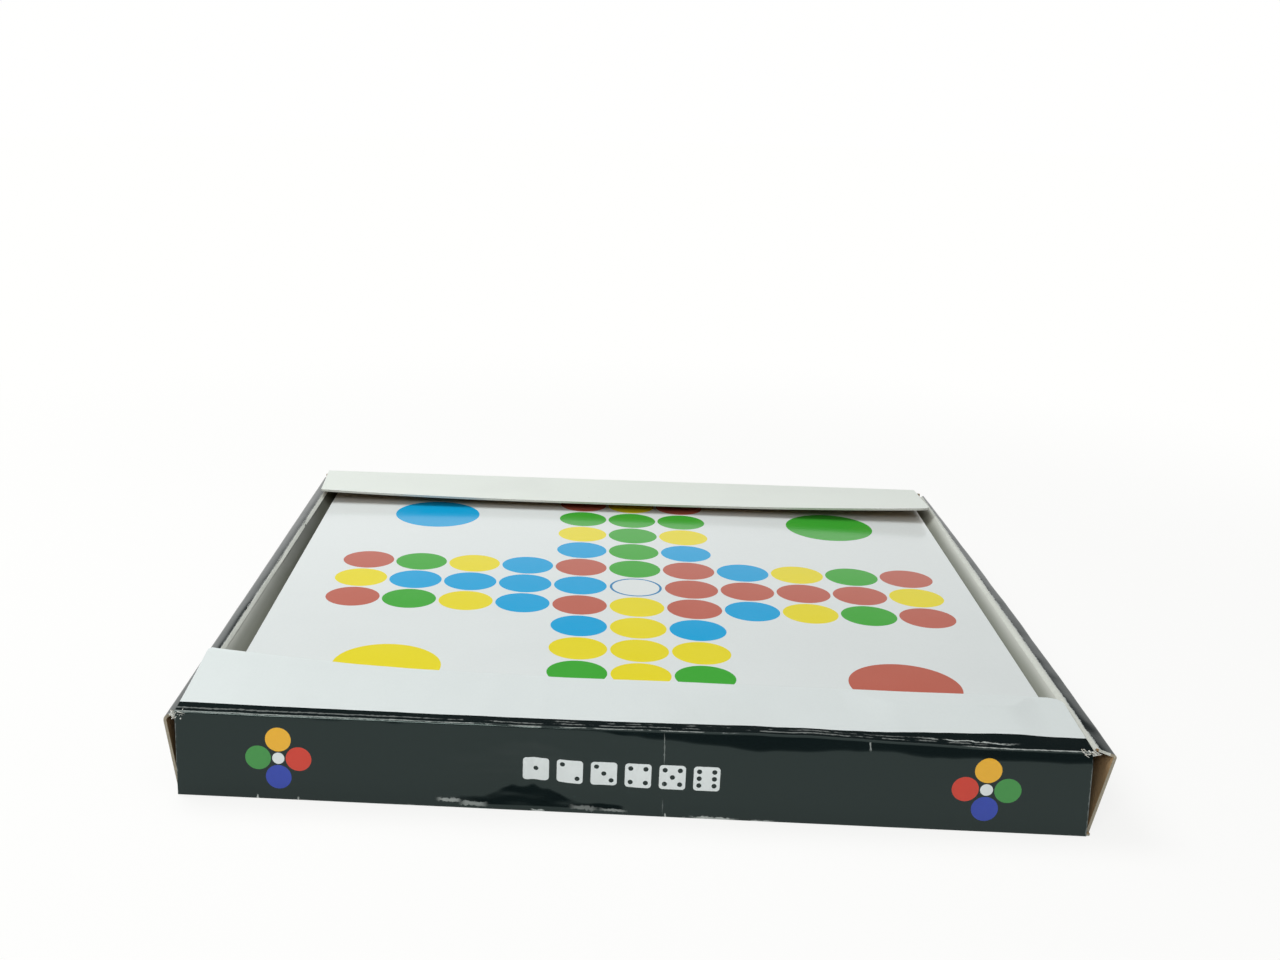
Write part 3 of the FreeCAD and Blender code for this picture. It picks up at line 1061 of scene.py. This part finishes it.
def front_edge(x):
    """Height of the front flap's free edge: it springs up, and the left corner curls."""
    curl = curl_rise * (max(0.0, -x - curl_start) / curl_reach) ** 2.2
    return front_spring + curl + 0.0002 * noise.noise(Vector((x * 30.0, 0.0, 0.0)))


def front_crown(x, from_edge, length):
    """A shallow crease on the right, along the free edge, where the flap was once bent down."""
    line = turned_depth * ramp(x, 0.066, 0.084) * ramp(x, 0.131, 0.118)
    if line < 0.001:
        return 0.0
    ridge = min(from_edge / line, (length - from_edge) / (length - line))
    return turned_rise * ridge * line / turned_depth


def rear_edge(x):
    """Height of the rear flap's free edge: low in the middle, lifted at both corners."""
    return rear_spring + rear_lift * (abs(x - rear_lift_middle) / rear_lift_reach) ** 2.5


def front_crease_lean(x):
    """How far the front fold lies behind the flat plane."""
    return front_lean(x, crease_height(x))


def front_crease_slope(x):
    """How steeply the front wall leans in at the fold."""
    fold = crease_height(x)
    return (front_lean(x, fold) - front_lean(x, fold - slope_step)) / slope_step


front_flap = bent_sheet(
    "front_flap_card", 280, fold_rows + flap_rows,
    flap_bend(-front_half - left_over, front_half, left_taper, crease_height, front_crease_lean,
              front_crease_slope, front_edge, front_crown, -1))
rear_flap = bent_sheet(
    "rear_flap_card", 160, fold_rows + flap_rows,
    flap_bend(-rear_half, rear_half - rear_short, rear_taper, lambda x: crease_level, lambda x: 0.0,
              lambda x: 0.0, rear_edge, lambda x, from_edge, length: 0.0, 1))

# %% [markdown]
# The black print runs over the front fold by six millimetres, and more on the right; at the rear it ends on
# the fold. The distance from the fold is stored on the mesh as an attribute, so the line
# follows the bent sheet. The film has cracked along the fold again and again, in lines that come and go.

# %% Flap print
front_bleed = 0.0060
rear_bleed = 0.0009
right_bleed = 0.0038
crack_fade = 0.008
blend_reach = 0.0022
flap_edge = screen(196, 198, 190)
# Painted light: the rear flap is the same card as the front one, given a lighter white.
rear_painted_light_white = screen(232, 238, 231)


def crease_cracks(place, across, way):
    """Cracks on the front fold, each with its distance, stray, width, amount, strength and stretch."""
    lines = [
        (0.0007, 0.0002, 0.00030, 0.80, 0.28, (-0.15, -0.060)),
        (0.0007, 0.0002, 0.00020, 0.50, 0.45, (-0.080, 0.035)),
        (0.0028, 0.0003, 0.00045, 0.70, 0.22, (-0.15, -0.055)),
        (0.0026, 0.0006, 0.00040, 0.50, 0.25, (-0.060, 0.110)),
        (0.0044, 0.0006, 0.00040, 0.48, 0.20, (-0.030, 0.100)),
        (0.0040, 0.0018, 0.00050, 0.58, 0.65, (0.086, 0.118)),
        (0.0009, 0.0004, 0.00028, 0.66, 0.60, (0.098, 0.15)),
    ]
    marks = None
    for line_place, wander, width, amount, strength, (start, end) in lines:
        line = place_group("crack", place, Distance=way - line_place, Width=width, Wander=wander,
                           Amount=amount)["Mask"]
        within = band(across, (start, start + crack_fade), (end, end - crack_fade))
        mark = line * within * strength
        marks = marks.most(mark) if marks else mark
    return marks


def flap_material(name, side, bleed, white):
    """White coated card with a black band along the fold, which is cracked at the front."""
    cracked = side < 0
    material, shader, place, facing = film_material(name)
    along = material.node_tree.nodes.new("ShaderNodeAttribute")
    along.attribute_name = "along"
    way = Field(along.outputs["Fac"])
    across = split(place)[0]
    edge = (cloud(place, 60.0, detail=2.0) - 0.5) * 0.0006 + bleed
    if cracked:
        edge = edge + across.between(0.06, 0.12) * right_bleed
    black = way.below(edge)
    white, white_rough, white_height = white_print(place, white)
    marks = crease_cracks(place, across, way) if cracked else None
    ink, ink_rough, ink_height = black_print(place, way - fold_radius, marks=marks, wear_share=0.0)
    colour = mix(black, white, ink)
    roughness = (ink_rough - white_rough) * black + white_rough
    height = (ink_height - white_height * 0.2) * black + white_height * 0.2
    outward = (0, side * 0.5, 1)
    finish_card(shader, place, facing, outward, colour, roughness, height, film_depth, flap_edge)
    return material


flaps = [
    (front_flap, "front_flap", -1, front_bleed, coat_white, 0.0016),
    # The rear flap's lighter white is painted light.
    (rear_flap, "rear_flap", 1, rear_bleed, rear_painted_light_white, 0.0003),
]
for flap, node, side, bleed, white, blend_start in flaps:
    flap.data.materials.append(flap_material(f"{node}_print", side, bleed, white))
    start = (0, side * (half_depth - blend_start), crease_level)
    end = (0, side * (half_depth - blend_start - blend_reach), crease_level)
    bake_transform(flap)
    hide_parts(node)

# %% [markdown]
# ## Rolled sides
#
# Each side wall rolls over into a narrow rim and then dives into the tray as the side flap. The roll isn't
# sharp: it slopes and then rounds over, and that roundness catches the light along both sides. So a side is
# one sheet from the foot over the rim to the flap: five points give its profile, with a curve at each fold.

# %% Rolled sides
rim_skin = 0.00008
side_columns = 120
fold_cuts = 5
rim_low, rim_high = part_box("right_rim")
rim_half = rim_high.y
side_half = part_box("right_wall")[1].y
side_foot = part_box("right_wall")[0].z
side_shift = {"left": (-0.0011, -0.0017), "right": (-0.0014, 0.0016)}
side_bow = {"left": 0.0, "right": 0.0011}
outer_drop = {"left": 0.0012, "right": 0.0005}
outer_round = {"left": 0.0015, "right": 0.0010}


def side_rows(side):
    """Each row above the foot: share of the way in, drop below the top, roundness, half its length."""
    return [
        (0.06, outer_drop[side], outer_round[side], side_half - 0.0008),
        (0.66, 0.00012, 0.0008, rim_half + 0.0012),
        (1.0, 0.0, 0.0004, rim_half - 0.0004),
        (1.2, 0.0009, 0.0, rim_half - 0.0006),
    ]


def ends_of(node):
    """Lowest and highest x of a node at its front end and at its rear end."""
    painted_low_shade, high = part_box(node)
    corners = [v.co for v in nodes[node].data.vertices]
    front = [c.x for c in corners if c.y < painted_low_shade.y + 0.001]
    rear = [c.x for c in corners if c.y > high.y - 0.001]
    return min(front), max(front), min(rear), max(rear)


def rim_edges(side, sign):
    """Outer edge and inner fold of a rim, each at the front and at the rear."""
    front_low, front_high, rear_low, rear_high = ends_of(f"{side}_rim")
    front_in, rear_in = side_shift[side]
    if sign > 0:
        return (front_high - front_in, rear_high - rear_in), (front_low, rear_low)
    return (front_low + front_in, rear_low + rear_in), (front_high, rear_high)


def rounded_line(corners, rounds):
    """Points along a line through the corners, with a curve in place of each inner corner."""
    line = [corners[0]]
    for before, corner, after, roundness in zip(corners, corners[1:], corners[2:], rounds):
        back, onward = before - corner, after - corner
        start = corner + back.normalized() * min(roundness, back.length * 0.48)
        end = corner + onward.normalized() * min(roundness, onward.length * 0.48)
        for step in range(fold_cuts + 1):
            share = step / fold_cuts
            line.append(start.lerp(corner, share).lerp(corner.lerp(end, share), share))
    return line + [corners[-1]]


def rolled_side(side, sign):
    """A sheet of card from the foot of the wall over the rim to the side flap."""
    outer, inner = rim_edges(side, sign)
    rows = side_rows(side)
    rounds = [row[2] for row in rows[:-1]]
    last = len(rounds) * (fold_cuts + 1) + 1

    def bend(u, v):
        turn = sign * (2 * u - 1)
        corners = [Vector((sign * base_high.x, turn * side_half, side_foot))]
        for number, (inset, drop, roundness, reach) in enumerate(rows):
            y = turn * reach
            place = (y + rim_half) / (2 * rim_half)
            bow = side_bow[side] * max(0.0, 1 - (y / rim_half) ** 2)
            outer_x = outer[0] + (outer[1] - outer[0]) * place + sign * bow
            inner_x = inner[0] + (inner[1] - inner[0]) * place
            stray = 0.00018 * waver(y, 28.0, 11.0 + sign + number)
            x = outer_x + (inner_x - outer_x) * inset + stray
            corners.append(Vector((x, y, rim_high.z + rim_skin - drop + stray)))
        return rounded_line(corners, rounds)[round(v * last)], v

    return bent_sheet(f"{side}_side_card", side_columns, last, bend)


# %% Print of the rolled sides
black_ends = {"left": 0.0001, "right": 0.0008}
inner_wear = {"left": 0.3, "right": 0.7}
rim_reach = 0.002


def side_material(side, sign):
    """Black film that stops near the inner fold of the rim, where the card is white and cracked."""
    material, shader, place, facing = film_material(f"{side}_side_print")
    across, along, up = split(place)
    front, rear = rim_edges(side, sign)[1]
    inner = (across - ((along + rim_half) * ((rear - front) / (2 * rim_half)) + front)) * sign
    ends = along.size().up_to(side_half)
    crack = place_group("crack", place, Distance=inner - black_ends[side], Width=0.0004, Wander=0.0002,
                        Amount=0.62)
    end_wear = place_group("scuff", place, Distance=ends, Width=0.0012, Amount=0.6)
    on_rim = up.above(rim_low.z - rim_reach)
    marks = (crack["Mask"] * on_rim * inner_wear[side]).most(end_wear["Mask"] * 0.5)
    folds = (up - side_foot).least(ends)
    ink, ink_rough, height = black_print(place, folds, marks=marks, wear_share=0.5)
    white, white_rough = white_print(place, flap_grey)[:2]
    ragged = (cloud(place, 260.0, detail=3.0) - 0.5) * 0.0005
    black = (inner + ragged).above(black_ends[side]).most(on_rim.opposite())
    colour = mix(black, white, ink)
    roughness = (ink_rough - white_rough) * black + white_rough
    edge = mix(ends.below(rim_reach), flap_grey, cut_grey)
    finish_card(shader, place, facing, (sign, 0, 1), colour, roughness, height, film_depth, edge)
    return material


for side, sign in sides:
    rolled = rolled_side(side, sign)
    rolled.data.materials.append(side_material(side, sign))
    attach(rolled, "carton")
    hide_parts(f"{side}_wall", f"{side}_rim")

# %% [markdown]
# ## Frayed corners
#
# At both front corners the card has torn a little, and white fibres stick out. Each fibre is a thin closed
# cone; a seeded random choice turns and places them, so the tufts come out the same every time.

# %% Tufts of torn fibre
fibre_radius = 0.00024
fibre_tip = 0.00006
fibre_lengths = 0.0011, 0.0026


def fibre_material():
    """Torn paper: white with grey and brown patches."""
    material, shader, place, facing = new_material("torn_fibre", roughness=0.9, gloss=0.2)
    patches = cloud(place, 900.0, detail=3.0)
    colour = mix(patches.between(0.4, 0.7), screen(224, 226, 220), screen(176, 168, 150))
    feed(shader.inputs["Base Color"], colour)
    bump(shader, patches, 0.00005)
    return material


def frayed_corner(name, middle, spread, lean, count, seed, finish):
    """A tuft of fibres about a point; spread gives how far they lie from it, lean the way they point."""
    chance = random.Random(seed)
    shape = bmesh.new()
    for number in range(count):
        offset = Vector([chance.uniform(-s, s) for s in spread])
        way = Vector(lean) + Vector([chance.uniform(-0.8, 0.8) for axis in range(3)])
        length = chance.uniform(*fibre_lengths)
        turn = way.to_track_quat("Z", "Y").to_matrix().to_4x4()
        flat = Matrix.Diagonal((1.0, chance.uniform(0.4, 0.8), 1.0, 1.0))
        bmesh.ops.create_cone(
            shape, cap_ends=True, segments=6, radius1=fibre_radius, radius2=fibre_tip, depth=length,
            matrix=Matrix.Translation(Vector(middle) + offset) @ turn @ flat)
    bmesh.ops.recalc_face_normals(shape, faces=shape.faces[:])
    mesh = mesh_of(shape, name)
    mesh.shade_smooth()
    mesh.materials.append(finish)
    tuft = add_object(name, mesh)
    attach(tuft, "carton")
    print(name, "fibres", count)


torn = fibre_material()
corner_y = -half_depth + 0.0006
frayed_corner("left_corner_fibres", (-panel_half + 0.0006, corner_y, crease_level + 0.0006),
              (0.0016, 0.0007, 0.0008), (0.5, -0.2, 0.4), 22, 4, torn)
frayed_corner("right_corner_fibres", (panel_half - 0.0020, corner_y + 0.0008, crease_level + 0.0002),
              (0.0028, 0.0007, 0.0006), (0.9, -0.3, 0.2), 26, 9, torn)
